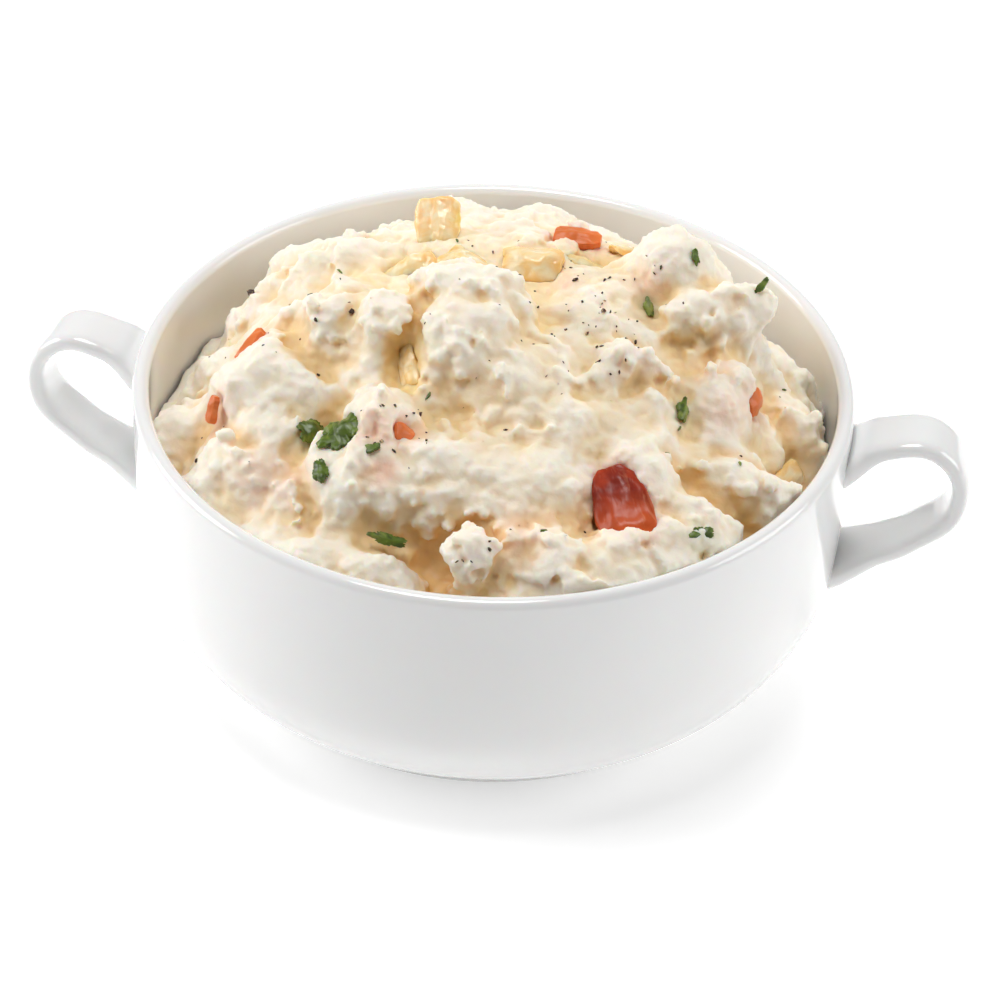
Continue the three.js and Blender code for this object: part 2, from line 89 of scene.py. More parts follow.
camera = bpy.data.objects.new("camera", bpy.data.cameras.new("camera"))
camera.data.sensor_width = 36
camera.data.lens = LENS
camera.data.clip_start = 0.01
place = walk @ (AIM - DISTANCE * forward)
camera.matrix_world = Matrix((right, up, back)).transposed().to_4x4()
camera.location = place
bpy.context.scene.collection.objects.link(camera)
bpy.context.scene.camera = camera
print("camera at", [round(v / MM) for v in place])

# %% [markdown]
# ## Helpers for modelling
# An operator works on whatever is selected, so each step starts by selecting one piece alone. A
# modifier that has been tuned is applied at once, so that the next step sees real faces.

# %% Selecting, copying and applying
def pick(piece):
    for other in bpy.context.view_layer.objects:
        other.select_set(False)
    piece.select_set(True)
    bpy.context.view_layer.objects.active = piece
    return piece


def apply_modifier(piece, kind, **settings):
    pick(piece)
    modifier = piece.modifiers.new(kind.lower(), kind)
    for name, value in settings.items():
        setattr(modifier, name, value)
    bpy.ops.object.modifier_apply(modifier=modifier.name)


def in_edit_mode(piece, *steps):
    pick(piece)
    bpy.ops.object.mode_set(mode="EDIT")
    bpy.ops.mesh.select_all(action="SELECT")
    for step in steps:
        step()
    bpy.ops.object.mode_set(mode="OBJECT")


MERGE_WITHIN = 0.002 * MM


def merge_points():
    bpy.ops.mesh.remove_doubles(threshold=MERGE_WITHIN)


def face_outwards():
    bpy.ops.mesh.normals_make_consistent(inside=False)


def copy_of(node, name):
    piece = bpy.data.objects.new(name, frame["nodes"][node].data.copy())
    bpy.context.scene.collection.objects.link(piece)
    piece.data.materials.clear()
    in_edit_mode(piece, merge_points)
    return piece


def dress(piece, material, slot, *nodes):
    piece.data.materials.clear()
    piece.data.materials.append(material)
    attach(piece, "root")
    if nodes:
        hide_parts(*nodes)
    print(piece.name, "has", sum(len(p.vertices) - 2 for p in piece.data.polygons), "triangles")


def points_of(piece):
    co = np.empty(3 * len(piece.data.vertices), np.float32)
    piece.data.vertices.foreach_get("co", co)
    return co.reshape(-1, 3).astype(float)


def normals_of(piece):
    no = np.empty(3 * len(piece.data.vertices), np.float32)
    piece.data.vertex_normals.foreach_get("vector", no)
    return no.reshape(-1, 3).astype(float)


def write_attribute(piece, name, values):
    attribute = piece.data.attributes.new(name, "FLOAT", "POINT")
    attribute.data.foreach_set("value", np.asarray(values, np.float32))


def weigh(piece, name, values):
    group = piece.vertex_groups.new(name=name)
    for i, value in enumerate(np.clip(values, 0, 1)):
        if value > 0.01:
            group.add([i], float(value), "REPLACE")


# %% [markdown]
# ## Scattering
# Crumbs and cracked pepper are both small rocks. A rock is an icosphere with its points pulled in and
# out by a seeded draw. It is dropped straight down on a surface and turned to lie along it.

# %% Scattering small rocks
DROP_FROM = 0.12  # metres, well above the dish


def surface_of(piece):
    return BVHTree.FromObject(piece, bpy.context.evaluated_depsgraph_get())


def ground_under(x, y, tree):
    return tree.ray_cast(Vector((x * MM, y * MM, DROP_FROM)), Vector((0, 0, -1)))[:2]


def rock(draw, size, place, normal, flat=(0.4, 0.8), rough=(0.7, 1.15)):
    made = bmesh.new()
    bmesh.ops.create_icosphere(made, subdivisions=1, radius=0.5)
    for vertex in made.verts:
        vertex.co *= draw.uniform(*rough)
    shape = Matrix.Diagonal((size, size * draw.uniform(*flat), size * draw.uniform(*flat), 1))
    turn = Matrix.Rotation(draw.uniform(0, 2 * math.pi), 4, "Z")
    lie = normal.to_track_quat("Z", "Y").to_matrix().to_4x4()
    made.transform(Matrix.Translation(place) @ lie @ turn @ shape)
    return made


def joined(name, parts):
    mesh = bpy.data.meshes.new(name)
    whole = bmesh.new()
    for part in parts:
        part.to_mesh(mesh)
        part.free()
        whole.from_mesh(mesh)
    whole.to_mesh(mesh)
    whole.free()
    piece = bpy.data.objects.new(name, mesh)
    bpy.context.scene.collection.objects.link(piece)
    return piece


# %% [markdown]
# ## Helpers for finishes
# A finish is a small tree of nodes that ends in one shader. These helpers place a node, set its
# sockets by name and join it to others, so that each finish below reads as a short recipe.

# %% Building node trees
class Finish:
    def __init__(self, name, **sockets):
        self.material = bpy.data.materials.new(name)
        self.material.use_nodes = True
        self.tree = self.material.node_tree
        self.shader = self.tree.nodes["Principled BSDF"]
        self.put(self.shader, sockets)
        self.where = self.add("ShaderNodeTexCoord").outputs["Object"]

    def put(self, node, sockets):
        for name, value in sockets.items():
            socket = next(s for s in node.inputs if s.name.lower() == name.replace("_", " "))
            if isinstance(value, bpy.types.NodeSocket):
                self.tree.links.new(value, socket)
            else:
                socket.default_value = value

    def add(self, kind, settings=None, **sockets):
        node = self.tree.nodes.new(kind)
        for name, value in (settings or {}).items():
            setattr(node, name, value)
        self.put(node, sockets)
        return node

    def noise(self, size, detail=3, roughness=0.5, warp=0):
        made = self.add("ShaderNodeTexNoise", vector=self.where, scale=1 / size, detail=detail,
                        roughness=roughness, distortion=warp)
        return made.outputs[0]

    def attribute(self, name):
        return self.add("ShaderNodeAttribute", {"attribute_name": name}).outputs["Fac"]

    def spread(self, value, low, high, to_low=0, to_high=1):
        node = self.add("ShaderNodeMapRange", {"clamp": True}, value=value)
        for socket, number in zip(node.inputs[1:5], (low, high, to_low, to_high)):
            socket.default_value = number
        return node.outputs[0]

    def mix(self, share, first, second, way="MIX"):
        node = self.add("ShaderNodeMix", {"data_type": "RGBA", "blend_type": way})
        factor, colour_a, colour_b = (node.inputs[i] for i in (0, 6, 7))
        for socket, value in ((factor, share), (colour_a, first), (colour_b, second)):
            if isinstance(value, bpy.types.NodeSocket):
                self.tree.links.new(value, socket)
            elif isinstance(value, (int, float)):
                socket.default_value = value
            else:
                socket.default_value = (*value, 1)
        return node.outputs[2]

    def math(self, operation, *values):
        node = self.add("ShaderNodeMath", {"operation": operation})
        for socket, value in zip(node.inputs, values):
            if isinstance(value, bpy.types.NodeSocket):
                self.tree.links.new(value, socket)
            else:
                socket.default_value = value
        return node.outputs[0]

    def bump(self, height, depth, strength=1.0, under=None):
        node = self.add("ShaderNodeBump", height=height, distance=depth, strength=strength)
        if under:
            self.tree.links.new(under, node.inputs["Normal"])
        return node.outputs[0]

    def wear(self, **sockets):
        self.put(self.shader, sockets)
        return self.material


# %% [markdown]
# ## Porcelain cup
# The cup is turned on a wheel, so its body is one outline spun round the middle: foot ring, bowl,
# round lip, and the inner wall down to the floor. The outline is drawn as a Bezier curve, because a
# potter's profile is made of a few long curves, and Spin then makes the clay body from it.

# %% Cup outline
CUP_HEIGHT = 50 * MM
CUP_RADIUS = 60.3 * MM
LIP = 1.4 * MM
FOOT_RADIUS = 47 * MM
FOOT_HEIGHT = 3.3 * MM
FOOT_WIDTH = 3.4 * MM
RECESS = 1.3 * MM
FLOOR_TOP = 5.2 * MM
ROUND = 0.5523  # share of a radius at which a Bezier handle makes a quarter circle


def outline_points():
    wall = CUP_RADIUS - 2 * LIP
    ring = CUP_HEIGHT - LIP
    quarter = ROUND * LIP
    foot_in = FOOT_RADIUS - FOOT_WIDTH
    belly = (CUP_RADIUS - 0.4 * MM, 20 * MM)
    # each point with the handle before it and the handle after it, None for a straight line
    return [
        ((0, RECESS), None, None),
        ((foot_in - MM, RECESS), None, None),
        ((foot_in, 0), None, None),
        ((FOOT_RADIUS - 0.7 * MM, 0), None, None),
        ((FOOT_RADIUS, 0.8 * MM), None, None),
        ((FOOT_RADIUS, FOOT_HEIGHT), None, (52.5 * MM, 4.6 * MM)),
        (belly, (59 * MM, 12.5 * MM), (CUP_RADIUS + 0.3 * MM, 27 * MM)),
        ((CUP_RADIUS, ring), (CUP_RADIUS + 0.2 * MM, 38 * MM), (CUP_RADIUS, ring + quarter)),
        ((CUP_RADIUS - LIP, CUP_HEIGHT), (CUP_RADIUS - LIP + quarter, CUP_HEIGHT),
         (CUP_RADIUS - LIP - quarter, CUP_HEIGHT)),
        ((wall, ring), (wall, ring + quarter), None),
        ((wall + 0.2 * MM, 22 * MM), None, (wall - 0.6 * MM, 13 * MM)),
        ((40 * MM, FLOOR_TOP + 0.5 * MM), (50 * MM, FLOOR_TOP + 1.6 * MM), (30 * MM, FLOOR_TOP + 0.1 * MM)),
        ((0, FLOOR_TOP), (20 * MM, FLOOR_TOP), None),
    ]


# %% Drawing the outline and spinning it
CUP_STEPS = 144
EDGE_WIDTH = 0.35 * MM
EDGE_ANGLE = math.radians(30)


def draw_outline(points):
    bpy.ops.curve.primitive_bezier_curve_add()
    curve = bpy.context.object
    spline = curve.data.splines[0]
    curve.data.resolution_u = 12
    spline.bezier_points.add(len(points) - 2)
    for knot, (place, before, after) in zip(spline.bezier_points, points):
        knot.co = (place[0], 0, place[1])
        for side, handle in (("left", before), ("right", after)):
            setattr(knot, f"handle_{side}_type", "FREE" if handle else "VECTOR")
            if handle:
                setattr(knot, f"handle_{side}", (handle[0], 0, handle[1]))
    bpy.ops.object.convert(target="MESH")
    return bpy.context.object


cup = draw_outline(outline_points())
cup.name = "cup"
in_edit_mode(
    cup,
    lambda: bpy.ops.mesh.spin(steps=CUP_STEPS, angle=2 * math.pi, center=(0, 0, 0), axis=(0, 0, 1)),
    merge_points,
    face_outwards,
)
apply_modifier(cup, "BEVEL", width=EDGE_WIDTH, segments=3, limit_method="ANGLE", angle_limit=EDGE_ANGLE)
print("cup body:", len(cup.data.polygons), "faces,", "radius", round(max(points_of(cup)[:, 0]) / MM, 2))

# %% [markdown]
# ## Handles
# A handle is a flat strap of clay, bent over and pressed on, so it swells where it meets the wall.
# A curve through the middle of the strap carries a section with round edges, and the radius at each
# of its points swells the section. A Boolean then joins both handles to the body as one glazed skin.

# %% Handles
STRAP_WIDTH = 10 * MM
STRAP_THICKNESS = 3.1 * MM
STRAP_FLARE = 0.32
STRAP_FLARE_LENGTH = 3.2 * MM
STRAP_PATH = [(58.7, 41.5), (66, 46.8), (75.1, 47), (78.9, 37), (72, 28.2), (66.5, 24.6), (58.7, 20.3)]
SECTION_SIDES = 32
FLATNESS_ACROSS = 0.45  # 1 is an ellipse, and less is squarer
FLATNESS_THROUGH = 0.7
ROOT_REACH = 2.2  # mm for which each end runs straight on from the wall
ROOT_RISES = (0.8, 0.4)


def strap_section():
    bpy.ops.curve.primitive_bezier_circle_add()
    section = bpy.context.object
    section.data.splines.clear()
    spline = section.data.splines.new("POLY")
    spline.points.add(SECTION_SIDES - 1)
    spline.use_cyclic_u = True
    for i, point in enumerate(spline.points):
        turn = 2 * math.pi * i / SECTION_SIDES
        c, s = math.cos(turn), math.sin(turn)
        across = math.copysign(abs(c) ** FLATNESS_ACROSS, c) * STRAP_WIDTH / 2
        through = math.copysign(abs(s) ** FLATNESS_THROUGH, s) * STRAP_THICKNESS / 2
        point.co = (across, through, 0, 1)
    return section


def strap(side):
    section = strap_section()
    bpy.ops.curve.primitive_bezier_curve_add()
    path = bpy.context.object
    path.data.bevel_mode = "OBJECT"
    path.data.bevel_object = section
    path.data.use_fill_caps = True
    path.data.resolution_u = 14
    spline = path.data.splines[0]
    spline.bezier_points.add(len(STRAP_PATH) - 2)
    for knot, (x, z) in zip(spline.bezier_points, STRAP_PATH):
        knot.co = (side * x * MM, 0, z * MM)
        knot.handle_left_type = knot.handle_right_type = "AUTO"
        knot.radius = 1 + STRAP_FLARE * math.exp(-(x * MM - CUP_RADIUS) / STRAP_FLARE_LENGTH)
    for end, rise in zip((0, -1), ROOT_RISES):
        # both ends meet the wall squarely, so that they stay inside its thickness
        knot = spline.bezier_points[end]
        knot.handle_left_type = knot.handle_right_type = "FREE"
        level = Vector((side * ROOT_REACH * MM, 0, rise * MM))
        knot.handle_left = knot.handle_right = knot.co + level
    bpy.ops.object.convert(target="MESH")
    made = bpy.context.object
    made.name = "strap"
    bpy.data.objects.remove(section)
    in_edit_mode(made, merge_points, face_outwards)
    return made


for side in (1, -1):
    handle = strap(side)
    print("handle box in mm:", [round(v, 1) for v in np.ptp(points_of(handle), axis=0) / MM])
    apply_modifier(cup, "BOOLEAN", operation="UNION", solver="EXACT", object=handle)
    bpy.data.objects.remove(handle)
pick(cup)
bpy.ops.object.shade_smooth_by_angle(angle=math.radians(40))

# %% [markdown]
# Glazed porcelain is bright white clay under clear glass. The clay scatters light a little, and the
# glass gives sharp reflections. It could be a plain white gloss, but a faint unevenness in the clay
# and in the glaze keeps a large white wall from looking like plastic.

# %% Porcelain
COOL_CLAY = (0.86, 0.86, 0.855)
WARM_CLAY = (0.88, 0.878, 0.87)

glaze = Finish("porcelain", roughness=0.12, subsurface_weight=0.15, subsurface_scale=0.6 * MM,
               coat_weight=0.5, coat_roughness=0.04)
clay = glaze.mix(glaze.spread(glaze.noise(30 * MM), 0.35, 0.65), COOL_CLAY, WARM_CLAY)
ripple = glaze.bump(glaze.noise(9 * MM, detail=1), 0.06 * MM, 0.35)
dress(cup, glaze.wear(base_color=clay, normal=ripple), "porcelain", "bowl")

# %% [markdown]
# ## Mashed potato
# Mash holds the shape of the spoon in soft folds, tears into ledges with crumbly edges, and is full
# of small soft lumps. It could be sculpted by hand, or grown from a sphere by noise alone. The packed
# solid already has the spoonfuls, so a copy of it is remeshed into small even faces and its flat
# facets are melted, and finer forms are laid on top, the largest first.

# %% The heap, remeshed and melted
VOXEL = 0.58 * MM
HIDDEN_BELOW = 35 * MM  # the potato lies against the cup's inside up to here
FACET_MELT = 12  # rounds of smoothing that take the facets away


def remesh(piece, melt):
    apply_modifier(piece, "REMESH", mode="VOXEL", voxel_size=VOXEL, adaptivity=0)
    apply_modifier(piece, "SMOOTH", factor=0.5, iterations=melt)


heap = copy_of("mash", "potato_heap")
remesh(heap, FACET_MELT)
print("heap:", len(heap.data.polygons), "faces after the remesh")

# %% [markdown]
# A mound of even faces can be asked how far each point stands out from the land around it. Points
# above their surroundings are crests, where mash tears and dries, and points below are creases. The
# land around is found by averaging every point with its neighbours many times.

# %% Crests and creases
AIR_FADE = 3 * MM  # the relief grows to its full depth over this height


def averaged(piece, values, rounds):
    edges = np.empty(2 * len(piece.data.edges), np.int32)
    piece.data.edges.foreach_get("vertices", edges)
    a, b = edges.reshape(-1, 2).T
    count = np.bincount(a, minlength=len(values)) + np.bincount(b, minlength=len(values)) + 1.0
    columns = values.reshape(len(values), -1)
    for _ in range(rounds):
        sums = [c + np.bincount(a, c[b], len(c)) + np.bincount(b, c[a], len(c)) for c in columns.T]
        columns = np.stack([total / count for total in sums], axis=1)
    return columns.reshape(values.shape)


def standing_out(piece, rounds):
    points = points_of(piece)
    return ((points - averaged(piece, points, rounds)) * normals_of(piece)).sum(axis=1) / MM


def open_air(piece):
    return np.clip((points_of(piece)[:, 2] - HIDDEN_BELOW) / AIR_FADE, 0, 1)


def displace(piece, name, kind, depth, group="", **settings):
    texture = bpy.data.textures.new(name, kind)
    for key, value in settings.items():
        setattr(texture, key, value)
    apply_modifier(piece, "DISPLACE", texture=texture, texture_coords="LOCAL", strength=depth,
                   mid_level=0.5, vertex_group=group)


# %% [markdown]
# Between the spoonfuls run folds, where one rolls over the next. A fold could be cut with a Boolean,
# but mash has no sharp edges there. So each fold is a line on the heap, given by points in
# millimetres, and a Displace presses the potato in along it as a soft groove.

# %% Folds
FOLDS = [
    [(-12, -46), (-6, -45.5), (0, -44.5), (6, -45), (13, -42.5), (20, -39), (24, -37)],
    [(24, -13.5), (27, -13.5), (30, -12)],
    [(-27, -32), (-25, -39), (-21, -45)],
    [(33, -24), (40, -27), (47, -27)],
    [(40, -18), (46, -18), (52, -16)],
    [(-34, -8), (-30, -15), (-24, -19)],
    [(-45, -22), (-40, -28), (-34, -33)],
    [(44, 0), (49, -2), (52, -6)],
]
FOLD_WIDTH = 2.8  # mm from the line at which the groove has all but ended
FOLD_DEPTH = 2.0 * MM


def fold_share(points):
    share = np.zeros(len(points))
    flat = points[:, :2] / MM
    for line in FOLDS:
        for start, end in zip(line, line[1:]):
            start, run = np.array(start), np.subtract(end, start)
            along = np.clip((flat - start) @ run / (run @ run), 0, 1)
            far = np.linalg.norm(flat - start - along[:, None] * run, axis=1) / FOLD_WIDTH
            share = np.maximum(share, np.exp(-2 * far ** 2))
    return share


weigh(heap, "folds", open_air(heap) * fold_share(points_of(heap)))
apply_modifier(heap, "DISPLACE", strength=-FOLD_DEPTH, mid_level=0, vertex_group="folds")
remesh(heap, 1)

# %% [markdown]
# A spoon drags mash into layers that end in ragged ledges. A marble texture with a saw wave makes
# them: it rises slowly and drops at once, and its turbulence bends each drop into a torn edge. Wide
# patches are left smooth, where the back of the spoon passed.

# %% Torn ledges
PATCH_SIZE = 14 * MM
SMOOTH_UNDER, TORN_OVER = -0.35, 0.25
# each wave has a direction and a start, and where the waves add up the potato is torn
WAVES = [(1.0, 0.2, 0.5, 0.3), (-0.6, 0.9, 0.3, 2.1), (0.2, -1.1, 0.8, 4.0), (0.7, 0.6, -0.9, 1.2)]
WAVE_RATE = 2.4
PUFF = 0.2 * MM
LEDGE_SIZE = 16 * MM
LEDGE_DEPTH = 1.5 * MM


def torn_patches(piece):
    points = points_of(piece) / PATCH_SIZE
    total = sum(np.sin(points @ np.array(wave[:3]) * WAVE_RATE + wave[3]) for wave in WAVES) / len(WAVES)
    return np.clip((total - SMOOTH_UNDER) / (TORN_OVER - SMOOTH_UNDER), 0, 1)


weigh(heap, "air", open_air(heap))
apply_modifier(heap, "DISPLACE", strength=PUFF, mid_level=0, vertex_group="air")
torn = open_air(heap) * torn_patches(heap)
weigh(heap, "torn", torn)
displace(heap, "broad_ledges", "MARBLE", LEDGE_DEPTH, "torn", noise_scale=LEDGE_SIZE, noise_depth=4,
         noise_basis_2="SAW", turbulence=13)
print("torn:", round(100 * float((torn > 0.5).mean())), "% of the heap's points")

# %% [markdown]
# Where mash breaks off the spoon it leaves crags: rows of crumbs, half sunk. Noise can't put them in
# their rows, so each crag is a line on the heap, given by points in millimetres, with the spread of
# its crumbs and how many there are. The crumbs are joined to the heap, and a remesh melts them in.

# %% Crags
CRAGS = [
    ([(-12, -4), (-12.5, -10), (-12, -14), (-9.5, -18.5), (-7.5, -22.5), (-4, -26)], 1.6, 90),
    ([(-11, -7), (-5, -8), (1, -8), (4.3, -12.5), (6, -18), (5, -23), (2, -25.5)], 1.3, 90),
    ([(-5, -15), (-2, -18), (-0.7, -20)], 2.8, 60),
    ([(-19, -11.5), (-17.5, -16), (-13, -15)], 1.2, 40),
    ([(-30.5, -7), (-26.7, -14.5), (-22, -15)], 1.2, 40),
    ([(-11.6, -26), (-13.7, -31), (-15.8, -34), (-15.7, -40.5)], 1.0, 56),
    ([(-17, -43), (-9, -43), (-1, -42), (8, -42), (18, -41), (23, -35)], 1.3, 80),
    ([(1, -51), (4, -49), (8, -49), (7.6, -52)], 2.6, 110),
    ([(5, -42), (12, -45), (18.6, -46.6)], 1.2, 36),
    ([(41, 5.6), (39, 3.3), (34, 1.2), (26, 2)], 1.3, 70),
    ([(14, -19), (19, -13), (25, -11.4), (32, -7.6)], 1.5, 80),
    ([(31, -25), (37, -22), (44, -24.5), (52, -22.7)], 1.1, 56),
    ([(37, -35), (45, -30.5)], 1.0, 24),
    ([(33, 1), (38, -7), (43, -4), (51, 2.5), (54, -2)], 1.6, 70),
    ([(-28, -26.6), (-27, -34.5), (-23.6, -42.7), (-19, -46.6)], 1.0, 50),
    ([(-38.7, -32.5), (-32.5, -38), (-25, -41)], 1.2, 40),
    ([(-29, 20.6), (-23, 24.7), (-15, 34), (-5.5, 35), (5, 34), (15.6, 22.7)], 1.6, 90),
    ([(-4, -28), (4, -30), (12, -27), (15, -20)], 1.6, 60),
    ([(-46, 4), (-38, 16), (-30, 30), (-12, 44)], 2.0, 80),
    ([(44, 22), (34, 34), (18, 44), (2, 48)], 2.0, 80),
]
CRUMB_SMALLEST = 1.2 * MM
CRUMB_GROWTH = 2.2 * MM
CRUMB_OUT = (-0.25, 0.3)  # share of its size by which a crumb is sunk or stands proud
CRUMB_FLAT = (0.5, 1.0)
CRUMB_ROUGH = (0.55, 1.3)
crumb_draw = random.Random(11)
ground = surface_of(heap)
crumbs = []
for line, spread, count in CRAGS:
    for _ in range(count):
        along = crumb_draw.random() * (len(line) - 1)
        before, after, share = line[int(along)], line[int(along) + 1], along % 1
        x, y = (b + (a - b) * share + crumb_draw.gauss(0, spread / 2) for b, a in zip(before, after))
        place, normal = ground_under(x, y, ground)
        if place is None or place.z < HIDDEN_BELOW:
            continue
        size = CRUMB_SMALLEST + CRUMB_GROWTH * crumb_draw.random() ** 2
        out = crumb_draw.uniform(*CRUMB_OUT) * size
        crumbs.append(rock(crumb_draw, size, place + normal * out, normal, CRUMB_FLAT, CRUMB_ROUGH))
crags = joined("crags", crumbs)
pick(heap)
crags.select_set(True)
bpy.ops.object.join()
remesh(heap, 1)
print(len(crumbs), "crumbs melted in, heap has", len(heap.data.polygons), "faces")

# %% [markdown]
# All over the heap lie soft lumps the size of a lentil, and grains the size of sugar. Two sizes of
# cloud noise make them. The crests alone are dry enough to crumble, so a third, cellular noise is
# weighed by how far each point stands out.

# %% Soft lumps and crumbs
LUMP_SIZE, LUMP_DEPTH = 3.4 * MM, 1.4 * MM
GRAIN_SIZE, GRAIN_DEPTH = 1.2 * MM, 0.4 * MM
CRUMBLE_SIZE, CRUMBLE_DEPTH = 1.1 * MM, -0.65 * MM
CREST_FROM, CREST_OVER = 0.15, 0.4  # mm

weigh(heap, "soft", open_air(heap))
displace(heap, "soft_lumps", "CLOUDS", LUMP_DEPTH, "soft", noise_scale=LUMP_SIZE, noise_depth=1)
displace(heap, "grains", "CLOUDS", GRAIN_DEPTH, "soft", noise_scale=GRAIN_SIZE, noise_depth=0)
crest = standing_out(heap, 30)
print("stands out by", np.percentile(crest, (2, 50, 98)).round(2), "mm")
weigh(heap, "crests", open_air(heap) * np.clip((crest - CREST_FROM) / CREST_OVER, 0, 1))
displace(heap, "crumbs", "VORONOI", CRUMBLE_DEPTH, "crests", noise_scale=CRUMBLE_SIZE,
         distance_metric="DISTANCE")

# %% [markdown]
# The new relief must stay inside the cup, so points that reached the wall are drawn back to it. The
# lower half of the heap lies against the cup and is never seen, so Decimate thins it to a small share
# of its faces. The upper half keeps all of its own.

# %% Fitting the heap into the cup
INSIDE = 57.2 * MM
HIDDEN_SHARE = 0.12
skin = points_of(heap)
shrink = np.minimum(1, INSIDE / np.maximum(np.hypot(skin[:, 0], skin[:, 1]), MM))
skin[:, :2] *= shrink[:, None]
heap.data.vertices.foreach_set("co", skin.astype(np.float32).ravel())
heap.data.update()

hidden = (skin[:, 2] < HIDDEN_BELOW).astype(float)
weigh(heap, "hidden", hidden)
apply_modifier(heap, "TRIANGULATE")
whole = len(heap.data.polygons)
apply_modifier(heap, "DECIMATE", ratio=1 - (1 - HIDDEN_SHARE) * hidden.mean(), vertex_group="hidden")
print("thinned from", whole, "to", len(heap.data.polygons), "triangles")
pick(heap)
bpy.ops.object.shade_smooth()

# %% [markdown]
# ## Colour of the potato
# The potato is cream, with a painted highlight on its crests and painted shade, warmer and darker, in
# its creases and hollows. Round the onion it is stained yellow, beside the bacon pink, and over sunken
# parsley a cold green. Each stain is a number at every point, worked out from how near the toppings
# lie, with some spots over toppings that are sunk out of sight.

# %% Measuring a stain
def nearness(points, centres, reach):
    tree = KDTree(len(centres))
    for i, centre in enumerate(centres):
        tree.insert(centre, i)
    tree.balance()
    return np.array([max(0.0, 1 - tree.find(p)[2] / reach) for p in points])


def topping_points(kind):
    return np.concatenate([points_of(o) for n, o in frame["nodes"].items() if n.startswith(kind)])


def spots(points, places):
    share = np.zeros(len(points))
    for x, y, z, radius, strength in places:
        far = np.linalg.norm(points - np.array((x, y, z)) * MM, axis=1) / (radius * MM)
        share = np.maximum(share, strength * np.clip(1.3 - far, 0, 1))
    return share


# %% Spots over what is sunk
# place and reach in millimetres, and strength
GOLDEN_SPOTS = [(-10.7, -17.1, 63.3, 5, 1.0), (-10.9, 11.6, 65.5, 6, 0.5), (52.5, -6.2, 42.7, 6, 0.9),
                (13.9, -5.2, 64.3, 7, 0.3), (21, -20, 60, 3.5, 0.5), (-39.9, -10.8, 57.2, 4, 0.4),
                (-19, -3, 67, 6, 0.6), (-26, 5, 64, 5, 0.4), (-14, -14, 64, 5, 0.7)]

ROSY_SPOTS = [(-10.6, -39.9, 57.7, 3, 1.0), (-13.1, -34.3, 60.6, 4, 0.9), (39.7, -12.1, 57.2, 4.5, 0.6),
              (-29.2, -38.1, 51.4, 6, 0.5), (12.1, -45.3, 52.8, 6, 0.35), (24.2, 7.8, 66.6, 3.5, 0.7),
              (10.3, 6.6, 65.8, 3, 0.7), (-42.7, -23.4, 50.9, 3, 0.8), (37, -4.1, 59.1, 4, 0.4)]

HERBY_SPOTS = [(-36, 30, 55, 5, 0.5), (-32.7, 11.3, 61.8, 3, 0.5), (-25.5, -29.5, 53.6, 4, 0.5),
               (39.4, -38.1, 49.7, 4, 0.6), (32, 0.7, 63, 4, 0.5), (-34.6, -29.2, 56, 3, 0.3),
               (50.2, 12.9, 47.2, 4, 0.6), (40.4, -22.2, 52.7, 3, 0.4), (14.4, -36.1, 57, 2.5, 0.3)]
print("spots:", len(GOLDEN_SPOTS), "golden,", len(ROSY_SPOTS), "rosy and", len(HERBY_SPOTS), "herby")

# %% [markdown]
# Light that enters mash in a hollow is scattered many times before it leaves, and comes out warmer
# and dimmer. That shade is painted into the colour: every point is asked how much of the sky the
# potato around it hides, by a few short rays.

# %% Sheltered hollows, for painted shade
SHELTER_REACH = 16 * MM
SHELTER_LIFT = 0.3 * MM  # a ray starts this far off the skin
RAYS = 14
GOLDEN_TURN = 2.4  # radians from one ray to the next, which spreads them evenly


def sky_ray(i):
    turn, share = GOLDEN_TURN * i, (i + 0.5) / RAYS
    flat = math.sqrt(share)
    return Vector((math.cos(turn) * flat, math.sin(turn) * flat, math.sqrt(1 - share)))


SKY = [sky_ray(i) for i in range(RAYS)]


def sheltered(piece):
    tree = surface_of(piece)
    shares = np.zeros(len(piece.data.vertices))
    for i, vertex in enumerate(piece.data.vertices):
        if vertex.co.z < HIDDEN_BELOW:
            continue
        lie = vertex.normal.to_track_quat("Z", "Y")
        start = vertex.co + vertex.normal * SHELTER_LIFT
        for ray in SKY:
            hit = tree.ray_cast(start, lie @ ray, SHELTER_REACH)
            if hit[0]:
                shares[i] += 1 - hit[3] / SHELTER_REACH
    return averaged(piece, shares / len(SKY), 3)


shelter = sheltered(heap)
write_attribute(heap, "shelter", shelter)
print("sheltered:", np.percentile(shelter[shelter > 0], (5, 50, 95)).round(2))

# %% [markdown]
# A stain could be painted, but then it would stay behind if a topping moved. Here every stain is
# worked out from the toppings, and kept on the skin as an attribute that the finish reads.

# %% Stains on the skin
CREST_ROUNDS = 60
# the topping that stains, how far it reaches, how strongly, and its sunken spots
STAINS = {
    "golden": ("onion", 5 * MM, 0.8, GOLDEN_SPOTS),
    "rosy": ("bacon", 3.5 * MM, 0.7, ROSY_SPOTS),
    "herby": ("parsley", 2.2 * MM, 0.5, HERBY_SPOTS),
}
skin = points_of(heap)
# The crests and folds are kept too: the finish paints shade in creases and along folds, and a highlight on
# crests.
write_attribute(heap, "crest", standing_out(heap, CREST_ROUNDS))
write_attribute(heap, "fold", fold_share(skin))
for name, (kind, reach, most, places) in STAINS.items():
    stain = np.maximum(nearness(skin, topping_points(kind), reach) * most, spots(skin, places))
    write_attribute(heap, name, stain)
    print(name, "stains", round(100 * float((stain > 0.2).mean()), 1), "% of the points")

# %% [markdown]
# Mash is starch, butter and milk. Light enters it, scatters and comes out soft and warm, so it needs
# subsurface scattering. Its base colour starts from two creams, and each step lays one more tint over
# it: painted shade, warm and deep, in creases, along folds and in sheltered hollows, a painted
# highlight on crests, and last the three stains under a broken veil.

# %% Potato finish
CREAM = (0.91, 0.77, 0.565)
PALE = (0.94, 0.86, 0.745)
